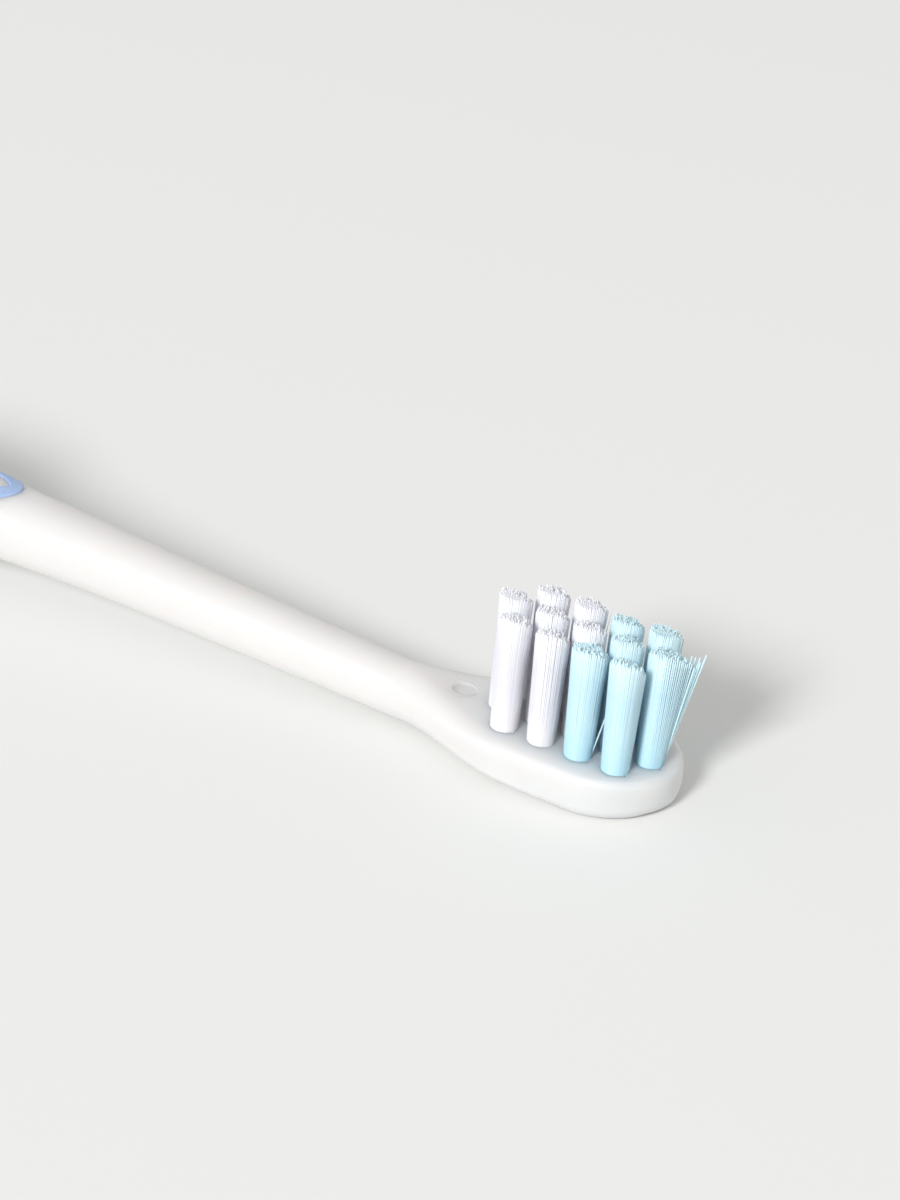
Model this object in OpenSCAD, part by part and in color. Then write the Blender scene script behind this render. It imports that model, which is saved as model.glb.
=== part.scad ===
// A compact manual toothbrush lying on its back, bristles up, in millimetres.
// +X runs towards the head's tip, +Y to the far side, +Z up; z = 0 is the surface it lies on.

/* [Head] */
// Length from the handle's end to the head's tip
brush_l = 160; // [150:1:176]
// Widest width of the head
head_w = 10.5; // [10:0.1:12]
// Thickness of the head near its tip
head_t = 3.15; // [2.9:0.05:3.6]
// Angle between the tufted face and the surface that the brush lies on
face_pitch = 4; // [2:0.5:5]
// Length of the blunt tip, up to the full width
tip_l = 6; // [5:0.1:7]
// Distance from the tip to where the shoulders start
side_l = 11.3; // [11:0.1:13]
// Distance from the tip to where the flat face ends in a point
face_l = 21; // [20.5:0.1:22.5]
// Rounding along the rim of the face
face_fillet = 0.55; // [0.3:0.05:0.8]
// Rounding along the rim of the back
back_fillet = 1.2; // [0.9:0.1:1.6]

/* [Neck] */
// Distance from the tip to the thinnest place, where the neck is round
neck_at = 22.6; // [22.4:0.1:24.4]
// Diameter of the neck at its thinnest
neck_d = 4.3; // [3.8:0.1:4.8]
// Height of the neck's axis there
neck_z = 2.74; // [2.6:0.02:3]
// Distance from the tip to where the neck ends and the handle starts to swell
neck_l = 58; // [56:0.5:62]
// Diameter of the neck at that end
neck_end_d = 5.85; // [5.4:0.05:6.4]
// Height of the neck's axis at that end
neck_end_z = 6.4; // [6:0.1:7]

/* [Handle] */
// Widest width of the handle
grip_w = 11.6; // [10.8:0.1:13]
// Greatest height of the handle above the surface
grip_h = 12.8; // [12:0.1:13.6]
// Width of the flat strip along the back that the handle lies on
belly_w = 4.4; // [3:0.1:6]
// Length over which the end of the handle rounds off
end_l = 9; // [7:0.5:12]

/* [Thumb ring] */
// Length of the soft thumb ring that reaches past the handle, over the end of the neck
ring_lead = 1.7; // [0:0.1:2.5]
// Length of the thumb ring
ring_l = 25; // [20:0.5:30]
// Distance between the ring and the side of the handle, seen from above
ring_margin = 0.8; // [0.7:0.05:1.2]
// Length over which each end of the ring rounds off
ring_round = 3.6; // [3:0.1:6]
// Width of the soft band that forms the ring
band_w = 1.1; // [0.7:0.05:1.2]
// Depth of the ring's groove in the handle
band_depth = 0.7; // [0.5:0.05:1]
// Height that the band stands proud of the handle
band_proud = 0.18; // [0.1:0.02:0.3]

/* [Tufts] */
// Distance between neighbouring tufts of a row
tuft_pitch = 3; // [2.8:0.05:3.1]
// Distance from the middle row to each outer row
row_gap = 2.37; // [2.3:0.01:2.6]
// Distance from the tip to the centre of the first tuft of the middle row
tuft_at = 2.15; // [2:0.05:2.4]
// Diameter of each tuft hole
hole_d = 2.06; // [1.9:0.02:2.2]
// Depth of each tuft hole
hole_depth = 2.2; // [1.9:0.05:2.3]
// Clearance around a tuft's folded root in its hole
root_gap = 0.02; // [0:0.01:0.05]
// Height of the bristles above the face
bristle_h = 9.7; // [7:0.1:11]
// Width of one strand
strand_w = 0.22; // [0.16:0.01:0.24]
// Length of the tapered end of a strand
taper_l = 1.6; // [0.5:0.1:3]
// Width gained by a tuft from its base to its top
tuft_flare = 0.48; // [0:0.02:0.5]
// How much lower the trimmed top of a tuft is on its far side, in parts of its width
tuft_slant = 0.42; // [0:0.02:0.6]
// Distance by which the outermost strands at the tip splay out over their height
splay = 2.5; // [0:0.1:3]

/* [Anchors] */
// Length of the metal anchor plate across a tuft hole
anchor_l = 2.5; // [2.4:0.05:2.7]
// Height of an anchor plate
anchor_h = 1.1; // [0.9:0.05:1.3]
// Thickness of an anchor plate
anchor_t = 0.25; // [0.2:0.01:0.3]
// Bristle left under an anchor plate, where the tuft folds around it
fold_t = 0.35; // [0.25:0.05:0.5]
// Clearance around an anchor plate
anchor_gap = 0.01; // [0:0.005:0.03]
// Angle between the anchor plates and the length of the head
anchor_turn = 25; // [0:1:35]

/* [Gate mark] */
// Diameter of the round mark that the mould leaves on the shoulder
gate_d = 2; // [1.4:0.1:2.4]
// Depth of the mark
gate_depth = 0.22; // [0.1:0.02:0.4]
// Width of the raised lip around the mark
gate_lip = 0.16; // [0.1:0.02:0.3]
// Height of that lip above the face
gate_rise = 0.08; // [0.04:0.01:0.15]
// Distance from the tip to the centre of the mark
gate_at = 17.3; // [17:0.1:18.5]

/* [Hidden] */
ROWS = ["near", "middle", "far"];
ROW_COUNTS = [4, 5, 4];

// Overrun that lets a cut pass clean through a surface
over = 0.3;
// Depth by which the back is cut flat where the brush touches the surface
rest_cut = 0.03;
// Strands in each tuft
strands = 30;
// Steps in the curved parts of a cross section, and around the thumb ring
top_steps = 5;
back_steps = 5;
ring_steps = 48;
round_fn = 40;

// Turn between one strand and the next in the sunflower pattern of a tuft
golden_angle = 137.508;
// Distance of the outermost strands from the root's rim, as a share of a strand's width
rim_share = 0.75;
// Share of a tuft's radius beyond which strands splay
splay_share = 0.55;
// How much the strands of a tuft differ in length
length_swing = 0.3;

// Exponents of the rounded outlines at the tip and at the handle's end
tip_power = 2;
end_power = 2.2;
// Share of the width that stays flat on a round section, and share of its height that stays upright
flat_share = 0.06;
upright_share = 0.03;
// Share of the length from the head's end to the neck where the back leaves the surface
lift_share = 0.25;
// Where the back starts to round into a keel, as a share of the way to the shoulders, and where it
// is fully round, as a share of the way from there to the thin neck
keel_shares = [0.45, 0.5];
// The handle from the neck's end to its own end: share of its length, then width, top and bottom as
// shares of grip_w, grip_h and grip_h
handle_shares = [[0.02, 0.539, 0.746, 0.264], [0.05, 0.65, 0.805, 0.22], [0.1, 0.86, 0.955, 0.09],
                 [0.176, 0.97, 1, 0.01], [0.255, 1, 0.99, 0], [0.412, 0.965, 0.94, 0],
                 [0.608, 1, 0.96, 0], [0.804, 0.95, 0.91, 0], [0.91, 0.88, 0.82, 0.04],
                 [1, 0.8, 0.72, 0.1]];
// The neck between its two ends: share of its length, then share of the change in diameter and in height
neck_shares = [[0.24, 0.13, 0.255], [0.49, 0.34, 0.52], [0.745, 0.6, 0.785]];

function mix(a, b, t) = a + (b - a) * t;
function ease(t) = let (c = min(1, max(0, t))) c * c * (3 - 2 * c);

// Strand n of a tuft is [foot, lean over its height, length]; on the splayed tuft the strands on the
// tip's side lean out further the nearer they stand to the tip
function strand(n, splayed) =
    let (share = sqrt((n + 0.5) / strands), way = [cos(n * golden_angle), sin(n * golden_angle)],
         out = splayed ? max(0, share * way[0] - splay_share) / (1 - splay_share) : 0)
    [(hole_d / 2 - root_gap - strand_w * rim_share) * share * way,
     tuft_flare / 2 * share * way + [splay * out, 0],
     bristle_h - length_swing * (sin(3 * n * golden_angle) + 1) / 2
         - tuft_slant * (hole_d + tuft_flare) * (share * way[1] + 1) / 2];

// How far the splayed strands reach past the head's tip; the brush is set back by half of that
splay_reach = max([for (n = [0 : strands - 1]) let (k = strand(n, true))
    (k[0][0] + k[1][0] - tuft_at) * cos(face_pitch) + k[2] * sin(face_pitch)]);
tip_x = (brush_l - max(0, splay_reach)) / 2;
// Height of the face plane at the tip, with the back's rounded rim on the surface
face_z = head_t - back_fillet * sin(face_pitch);

// Smooth value at station s through rows of [station, value, value, ...]
function row_at(rows, s, i = 0) = i >= len(rows) - 2 || s < rows[i + 1][0] ? i : row_at(rows, s, i + 1);
function slope_at(rows, i, c) =
    i == 0 ? (rows[1][c] - rows[0][c]) / (rows[1][0] - rows[0][0])
    : i == len(rows) - 1 ? (rows[i][c] - rows[i - 1][c]) / (rows[i][0] - rows[i - 1][0])
    : (rows[i + 1][c] - rows[i - 1][c]) / (rows[i + 1][0] - rows[i - 1][0]);
function through(rows, s, c) =
    let (i = row_at(rows, s), step = rows[i + 1][0] - rows[i][0], t = (s - rows[i][0]) / step)
    rows[i][c] * (1 + 2 * t) * (1 - t) * (1 - t) + slope_at(rows, i, c) * step * t * (1 - t) * (1 - t)
    + rows[i + 1][c] * t * t * (3 - 2 * t) - slope_at(rows, i + 1, c) * step * t * t * (1 - t);

// Width, top and bottom of the body from the thin neck to the handle's end
neck_span = neck_l - neck_at;
handle_l = brush_l - neck_l;
body_rows = concat(
    [[neck_at, neck_d, neck_z + neck_d / 2, neck_z - neck_d / 2]],
    [for (r = neck_shares)
        let (d = mix(neck_d, neck_end_d, r[1]), z = mix(neck_z, neck_end_z, r[2]))
        [neck_at + r[0] * neck_span, d, z + d / 2, z - d / 2]],
    [[neck_l, neck_end_d, neck_end_z + neck_end_d / 2, neck_end_z - neck_end_d / 2]],
    [for (r = handle_shares)
        [neck_l + r[0] * handle_l, r[1] * grip_w, r[2] * grip_h, r[3] * grip_h - rest_cut]]);

// Share of the full size left at distance d from a rounded end of length l
function closing(d, l, power) = d >= l ? 1 : pow(1 - pow(1 - max(0, d) / l, power), 1 / power);
// Half width of the head's outline, drawn in by an inset
function outline(s, inset) = (head_w / 2 - inset) * closing(s - inset, tip_l - inset, tip_power);
// Height of the face plane
function face_height(s) = face_z + s * tan(face_pitch);

// The section at station s is [half width, top, bottom, top flat, bottom flat, top round, bottom round]
lift_at = mix(side_l, neck_at, lift_share);
keel_at = side_l * keel_shares[0];
keel_end = mix(side_l, neck_at, keel_shares[1]);
function bite(s, r) = s >= r ? 0 : r - sqrt(r * r - (r - s) * (r - s));
function head_section(s) =
    let (t = ease((s - side_l) / (neck_at - side_l)),
         keel = ease((s - keel_at) / (keel_end - keel_at)),
         w = mix(outline(s, 0), neck_d / 2, t),
         rise = ease((s - gate_at) / (neck_at - gate_at)),
         top = mix(face_height(s), neck_z + neck_d / 2, rise) - bite(s, face_fillet),
         lift = ease((s - lift_at) / (neck_at - lift_at)),
         bottom = mix(-rest_cut, neck_z - neck_d / 2, lift) + bite(s, back_fillet),
         tall = top - bottom,
         point = (face_l - s) / (face_l - side_l + face_fillet),
         flat = min(outline(s, face_fillet), point * (head_w / 2 - face_fillet)),
         most = tall * (1 - upright_share) / 2)
    [w, top, bottom,
     max(w * flat_share, flat),
     max(w * flat_share, mix(outline(s, back_fillet), 0, keel)),
     min(mix(face_fillet, most, t), most),
     min(mix(back_fillet, most, keel), most)];
function body_section(s) =
    let (shut = closing(brush_l - s, end_l, end_power),
         w = through(body_rows, s, 1) / 2 * shut,
         top = through(body_rows, s, 2),
         bottom = through(body_rows, s, 3),
         middle = (top + bottom) / 2,
         half = (top - bottom) / 2 * shut,
         belly = belly_w / 2 * ease((s - neck_l) / (neck_l - neck_at)) * shut)
    [w, middle + half, middle - half, w * flat_share, max(w * flat_share, belly),
     half * (1 - upright_share), half * (1 - upright_share)];
function section(s) = s < neck_at ? head_section(s) : body_section(s);

// One side of a section from its top to its bottom, then the whole ring of points
function half_ring(k) = concat(
    [for (i = [0 : top_steps]) let (a = 90 * i / top_steps)
        [k[3] + (k[0] - k[3]) * sin(a), k[1] - k[5] * (1 - cos(a))]],
    [for (i = [0 : back_steps]) let (a = 90 * i / back_steps)
        [k[4] + (k[0] - k[4]) * cos(a), k[2] + k[6] * (1 - sin(a))]]);
function ring_points(s) =
    let (h = half_ring(section(s)), n = len(h))
    concat([for (p = h) [tip_x - s, p[0], p[1]]],
           [for (i = [n - 1 : -1 : 0]) [tip_x - s, -h[i][0], h[i][1]]]);

// Stations of the rings, close together where the outline turns
tip_steps = 9;
shoulder_steps = 9;
neck_steps = 12;
handle_steps = 26;
end_steps = 8;
stations = concat(
    [for (i = [1 : tip_steps]) tip_l * (1 - cos(90 * i / tip_steps))],
    [mix(tip_l, side_l, 0.5)],
    [for (i = [0 : shoulder_steps - 1]) mix(side_l, neck_at, i / shoulder_steps)],
    [for (i = [0 : neck_steps - 1]) mix(neck_at, neck_l, i / neck_steps)],
    [for (i = [0 : handle_steps - 1]) mix(neck_l, brush_l - end_l, i / handle_steps)],
    [for (i = [0 : end_steps - 1]) brush_l - end_l * (1 - sin(90 * i / end_steps))]);

// A closed skin over rings of equal length, given from +X to -X
module skin(rings) {
    n = len(rings[0]);
    last = len(rings) - 1;
    sides = [for (r = [0 : last - 1], i = [0 : n - 1])
        let (j = (i + 1) % n, a = r * n, b = a + n)
        each [[a + i, b + j, a + j], [a + i, b + i, b + j]]];
    caps = [for (i = [1 : n - 2]) each [[0, i, i + 1], [last * n, last * n + i + 1, last * n + i]]];
    polyhedron([for (r = rings) each r], concat(sides, caps), convexity = 6);
}

// Puts its children on the face plane, u from the tip and y across, with +Z along the plane's normal
module on_face(u, y) {
    translate([tip_x - u * cos(face_pitch), y, face_z + u * sin(face_pitch)])
        rotate([0, face_pitch, 0])
            children();
}

// Places of the tufts of a row, counted from the handle's side
function tuft_u(row, i) = tuft_at + tuft_pitch * (ROW_COUNTS[1] - i - (row == 1 ? 0 : 0.5));
function tuft_y(row) = (row - 1) * row_gap;

// The thumb ring runs along both sides of the handle's top and closes in a round nose at each end
ring_at = neck_l - ring_lead;
function ring_line(a, inset) =
    let (s = ring_at + ring_l / 2 - (ring_l / 2 - inset) * cos(a),
         d = min(s - ring_at, ring_at + ring_l - s) - inset,
         y = (section(s)[0] - ring_margin - inset) * closing(d, ring_round - inset, 2))
    [s, y * sign(sin(a))];
function top_at(s, y) =
    let (k = section(s), r = min(1, max(0, (abs(y) - k[3]) / (k[0] - k[3]))))
    k[1] - k[5] * (1 - sqrt(1 - r * r));
module ring_band(proud) {
    points = [for (i = [0 : ring_steps - 1])
        let (a = 360 * i / ring_steps, p = ring_line(a, 0), q = ring_line(a, band_w),
             zp = top_at(p[0], p[1]), zq = top_at(q[0], q[1]))
        each [[tip_x - p[0], p[1], zp - band_depth], [tip_x - p[0], p[1], zp + proud],
              [tip_x - q[0], q[1], zq + proud], [tip_x - q[0], q[1], zq - band_depth]]];
    faces = [for (i = [0 : ring_steps - 1], j = [0 : 3])
        let (a = 4 * i, b = 4 * ((i + 1) % ring_steps), k = (j + 1) % 4)
        each [[a + j, b + k, b + j], [a + j, a + k, b + k]]];
    polyhedron(points, faces, convexity = 6);
}

module anchor_plate(gap, up) {
    rotate([0, 0, -anchor_turn])
        translate([-anchor_l / 2 - gap, -anchor_t / 2 - gap, -hole_depth + fold_t - gap])
            cube([anchor_l + 2 * gap, anchor_t + 2 * gap, anchor_h + gap + up]);
}

module handle_core() {
    color([0.985, 0.98, 0.98]) difference() {
        union() {
            skin([for (s = stations) ring_points(s)]);
            on_face(gate_at, 0) translate([0, 0, -gate_depth])
                cylinder(h = gate_depth + gate_rise, d = gate_d, $fn = round_fn);
        }
        for (row = [0 : 2], i = [1 : ROW_COUNTS[row]]) on_face(tuft_u(row, i), tuft_y(row)) {
            translate([0, 0, -hole_depth])
                cylinder(h = hole_depth + over, d = hole_d, $fn = round_fn);
            anchor_plate(anchor_gap, hole_depth);
        }
        on_face(gate_at, 0) translate([0, 0, -gate_depth])
            cylinder(h = gate_depth + over, d = gate_d - 2 * gate_lip, $fn = round_fn);
        ring_band(over);
        translate([-brush_l, -grip_w, -over]) cube([2 * brush_l, 2 * grip_w, over]);
    }
}

module thumb_ring() {
    color([0.5, 0.63, 0.87]) ring_band(band_proud);
}

// One strand: a three-sided shaft that leans outwards and tapers to a point
function strand_points(k) =
    let (r = strand_w / sqrt(3), rise = k[2] - taper_l, end = k[0] + k[1])
    concat([for (z = [-over, rise], a = [0 : 120 : 240])
               let (c = k[0] + k[1] * max(0, z) / k[2])
               [c[0] + r * cos(a), c[1] + r * sin(a), z]],
           [[end[0], end[1], k[2]]]);
strand_faces = [[0, 1, 2],
                each [for (i = [0 : 2]) let (j = (i + 1) % 3)
                    each [[i, j + 3, j], [i, i + 3, j + 3], [i + 3, 6, j + 3]]]];
module tuft(row, i, tint) {
    splayed = row == 1 && i == ROW_COUNTS[1];
    color(tint) on_face(tuft_u(row, i), tuft_y(row)) {
        difference() {
            translate([0, 0, -hole_depth])
                cylinder(h = hole_depth, d = hole_d - 2 * root_gap, $fn = round_fn);
            anchor_plate(anchor_gap, anchor_gap);
        }
        for (n = [0 : strands - 1]) polyhedron(strand_points(strand(n, splayed)), strand_faces);
    }
}

module anchor(row, i) {
    color([0.8, 0.68, 0.4]) on_face(tuft_u(row, i), tuft_y(row)) anchor_plate(0, 0);
}

white_tuft = [0.94, 0.94, 0.98];
blue_tuft = [0.6, 0.83, 0.91];
// Last white tuft of each row; the tufts after it are blue
last_white = [2, 3, 2];

handle_core();
thumb_ring();
for (row = [0 : 2], i = [1 : ROW_COUNTS[row]])
    tuft(row, i, i > last_white[row] ? blue_tuft : white_tuft);
for (row = [0 : 2], i = [1 : ROW_COUNTS[row]])
    anchor(row, i);
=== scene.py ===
"""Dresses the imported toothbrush: handle, thumb ring, bristle tufts, anchors and a pale studio"""

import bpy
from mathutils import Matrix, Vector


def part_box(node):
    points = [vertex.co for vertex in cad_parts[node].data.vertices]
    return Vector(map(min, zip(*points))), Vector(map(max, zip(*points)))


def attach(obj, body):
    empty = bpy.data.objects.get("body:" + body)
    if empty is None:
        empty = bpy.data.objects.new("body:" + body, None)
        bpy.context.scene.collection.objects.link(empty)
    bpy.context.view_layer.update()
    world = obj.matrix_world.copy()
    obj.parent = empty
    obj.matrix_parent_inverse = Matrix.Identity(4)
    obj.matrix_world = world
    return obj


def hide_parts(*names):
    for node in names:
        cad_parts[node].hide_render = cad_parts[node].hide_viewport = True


bl_info = {
    "name": "Toothbrush Dresser",
    "version": (1, 0, 0),
    "blender": (4, 5, 0),
    "location": "View3D > Sidebar > Toothbrush",
    "description": "Models the handle, thumb ring and bristle tufts of a compact toothbrush and lights them",
    "category": "Add Mesh",
}

import math
import random

import bmesh
import bpy
import numpy as np
from bpy.props import FloatProperty, FloatVectorProperty, IntProperty, PointerProperty
from mathutils import Matrix, Vector

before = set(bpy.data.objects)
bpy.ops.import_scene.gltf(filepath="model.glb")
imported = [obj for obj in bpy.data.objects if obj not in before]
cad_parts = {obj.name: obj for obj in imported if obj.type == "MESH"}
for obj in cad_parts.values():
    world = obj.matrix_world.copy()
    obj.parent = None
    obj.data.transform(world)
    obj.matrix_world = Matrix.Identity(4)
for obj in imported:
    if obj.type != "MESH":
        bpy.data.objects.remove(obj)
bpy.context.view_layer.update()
BODY = "root"
# Tufts in each row, the number of its last white one, and its share of the tilt
ROWS = {"near": 4, "middle": 5, "far": 4}
LAST_WHITE = {"near": 2, "middle": 3, "far": 2}
TILT_SHARES = {"near": 0.0, "middle": 0.4, "far": 1.0}
# The frame's first cross section stands this far behind the head's very tip
TIP_SETBACK = 0.0000911
TIP_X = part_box("handle_core")[1][0] + TIP_SETBACK
# The UV map that holds each filament's own tone and the way along it
FILAMENT_MAP = "filament"


def length(name, description, default, low=0.0, high=0.3):
    return FloatProperty(name=name, description=description, default=default, min=low, max=high,
                         unit="LENGTH", precision=5)


def share(name, description, default):
    return FloatProperty(name=name, description=description, default=default, min=0.0, max=1.0,
                         subtype="FACTOR")


def angle(name, description, degrees, low=-180, high=180):
    return FloatProperty(name=name, description=description, default=math.radians(degrees),
                         min=math.radians(low), max=math.radians(high), subtype="ANGLE")


def colour(name, description, default):
    return FloatVectorProperty(name=name, description=description, default=default, min=0.0, max=1.0,
                               size=3, subtype="COLOR")


class HeadSizes(bpy.types.PropertyGroup):
    """Sizes of the brush head"""

    width: length("Width", "Widest width of the head", 0.0105)
    thickness: length("Thickness", "Thickness of the head near its tip", 0.00315)
    pitch: angle("Face angle", "Angle between the tufted face and the surface below", 4, 0, 10)
    tip: length("Tip", "Length of the blunt tip, up to the full width", 0.006)
    side: length("Side", "Distance from the tip to where the shoulders start", 0.0113)
    face: length("Face", "Distance from the tip to where the flat face ends in a point", 0.021)
    face_round: length("Face rounding", "Rounding along the rim of the face", 0.00055)
    back_round: length("Back rounding", "Rounding along the rim of the back", 0.0012)
    gate_at: length("Gate mark", "Distance from the tip to the round mark of the mould's gate", 0.0173)
    gate_across: length("Gate width", "Diameter of the mark of the mould's gate", 0.002)
    gate_depth: length("Gate depth", "Depth of the mark of the mould's gate", 0.00022)


class NeckSizes(bpy.types.PropertyGroup):
    """Sizes of the neck"""

    thin_at: length("Thinnest place", "Distance from the tip to the thinnest place of the neck", 0.0226)
    thin: length("Thinnest", "Diameter of the neck at its thinnest", 0.0043)
    thin_height: length("Height there", "Height of the neck's axis at its thinnest", 0.00274)
    end_at: length("End", "Distance from the tip to where the handle starts to swell", 0.058)
    end: length("End diameter", "Diameter of the neck at that end", 0.00585)
    end_height: length("End height", "Height of the neck's axis at that end", 0.0064)


class GripSizes(bpy.types.PropertyGroup):
    """Sizes of the handle and its thumb ring"""

    reach: length("Brush length", "Length from the head's tip to the handle's end", 0.15988)
    width: length("Width", "Widest width of the handle", 0.0116)
    height: length("Height", "Greatest height of the handle above the surface", 0.0128)
    belly: length("Belly", "Width of the flat strip that the handle lies on", 0.0044)
    end: length("End", "Length over which the end of the handle rounds off", 0.009)
    ring_lead: length("Ring lead", "Length of the thumb ring that lies over the neck", 0.0017)
    ring_length: length("Ring length", "Length of the thumb ring", 0.025)
    ring_margin: length("Ring margin", "Distance between the thumb ring and the handle's side", 0.0008)
    ring_round: length("Ring rounding", "Length over which each end of the thumb ring rounds off", 0.0036)
    band: length("Band width", "Width of the soft band that forms the thumb ring", 0.0011)
    band_depth: length("Band depth", "Depth of the band in the handle", 0.0007)
    band_proud: length("Band height", "Height of the band above the handle", 0.00018)


class TuftSizes(bpy.types.PropertyGroup):
    """Sizes of the bristle tufts"""

    pitch: length("Pitch", "Distance between neighbouring tufts of a row", 0.003)
    row_gap: length("Row gap", "Distance from the middle row to each outer row", 0.00237)
    first: length("First tuft", "Distance from the tip to the first tuft of the middle row", 0.00215)
    hole: length("Hole", "Diameter of a tuft hole", 0.00206)
    hole_depth: length("Hole depth", "Depth of a tuft hole", 0.0022)
    height: length("Height", "Height of the bristles above the face", 0.0097)
    rim: IntProperty(name="Filaments round the rim", description="Filaments in the outermost ring of a tuft",
                     default=60, min=12, max=90)
    taper: length("Taper", "Length of a filament's tapered end", 0.0007)
    packed: length("Packed height", "How far below its top a tuft is packed solid inside", 0.00035)
    inner: length("Inner ends", "Length of the filament ends inside a tuft", 0.0011)
    slant: share("Slant", "How much lower the trimmed top is on one side, in parts of a tuft's width", 0.42)
    dome: length("Dome", "How much lower the top of a tuft is at its two sides", 0.0004)
    flare: length("Flare", "Width gained by a tuft from its base to its top", 0.00048)
    tilt: length("Tilt", "How far the far row leans towards the tip at its top", 0.00045)
    slot: length("Anchor slot", "Length of the slot that an anchor is driven into", 0.00252)
    slot_width: length("Slot width", "Width of an anchor's slot", 0.00027)
    slot_turn: angle("Anchor turn", "Angle of the anchors to the head's length", -25, -90, 90)


class Finishes(bpy.types.PropertyGroup):
    """Colours of the pieces and the studio"""

    plastic: colour("Plastic", "Moulded white plastic of the handle", (0.742, 0.735, 0.734))
    plastic_shade: colour("Plastic, thin", "Faintly warmer tone of the white plastic", (0.722, 0.711, 0.706))
    ring: colour("Thumb ring", "Soft blue of the thumb ring", (0.38, 0.51, 0.77))
    ring_deep: colour("Thumb ring, worn", "Deeper blue in the grain of the thumb ring", (0.27, 0.41, 0.71))
    white: colour("White bristles", "White filaments", (0.79, 0.787, 0.85))
    # Painted light: white filaments near their holes are painted paler, standing in for light that passes
    # through the translucent bundle
    white_foot_painted_light: colour("White feet", "White filaments near their holes", (0.86, 0.857, 0.885))
    # Partly painted light: the tapered white ends have a paler tone, and are painted brighter for the light
    # that the thin ends let through
    white_tip_pale_and_painted_light: colour("White tips", "Tapered ends of the white filaments", (0.89, 0.905, 0.975))
    blue: colour("Blue bristles", "Pale blue filaments", (0.57, 0.795, 0.895))
    # Painted light: blue filaments near their holes are painted more saturated, standing in for coloured
    # light passing through the bundle into the gaps between tufts
    blue_foot_painted_light: colour("Blue feet", "Blue filaments near their holes", (0.49, 0.77, 0.91))
    # Partly painted light: the tapered blue ends have a paler tone, and are painted brighter for the light
    # that the thin ends let through
    blue_tip_pale_and_painted_light: colour("Blue tips", "Tapered ends of the blue filaments", (0.67, 0.87, 0.95))
    metal: colour("Anchors", "Stamped brass of the anchors", (0.8, 0.66, 0.38))
    floor: colour("Floor", "Pale studio floor", (0.92, 0.925, 0.91))


class StudioSetting(bpy.types.PropertyGroup):
    """Camera and light of the studio"""

    lens: FloatProperty(name="Lens", description="Focal length of the camera", default=120.0, min=10.0,
                        max=300.0, unit="CAMERA")
    turn: angle("Turn", "Camera's angle round the brush", 29.6)
    rise: angle("Rise", "Camera's angle above the surface", 28.09)
    roll: angle("Roll", "Camera's turn about its own axis", 2.0)
    away: length("Distance", "Distance of the camera from the head's tip", 0.28182, high=5.0)
    key: FloatProperty(name="Key light", description="Power of the soft light", default=64.5, min=0.0,
                       max=500.0, unit="POWER")
    key_size: length("Key size", "Width of the soft light", 0.8, high=5.0)
    key_away: length("Key distance", "Distance of the soft light", 3.0, high=9.0)
    key_turn: angle("Key turn", "Direction of the soft light round the brush", -89)
    key_rise: angle("Key rise", "Angle of the soft light above the surface", 32, 0, 90)
    fill: share("Fill", "Strength of the even light from all round", 0.53)


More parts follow.
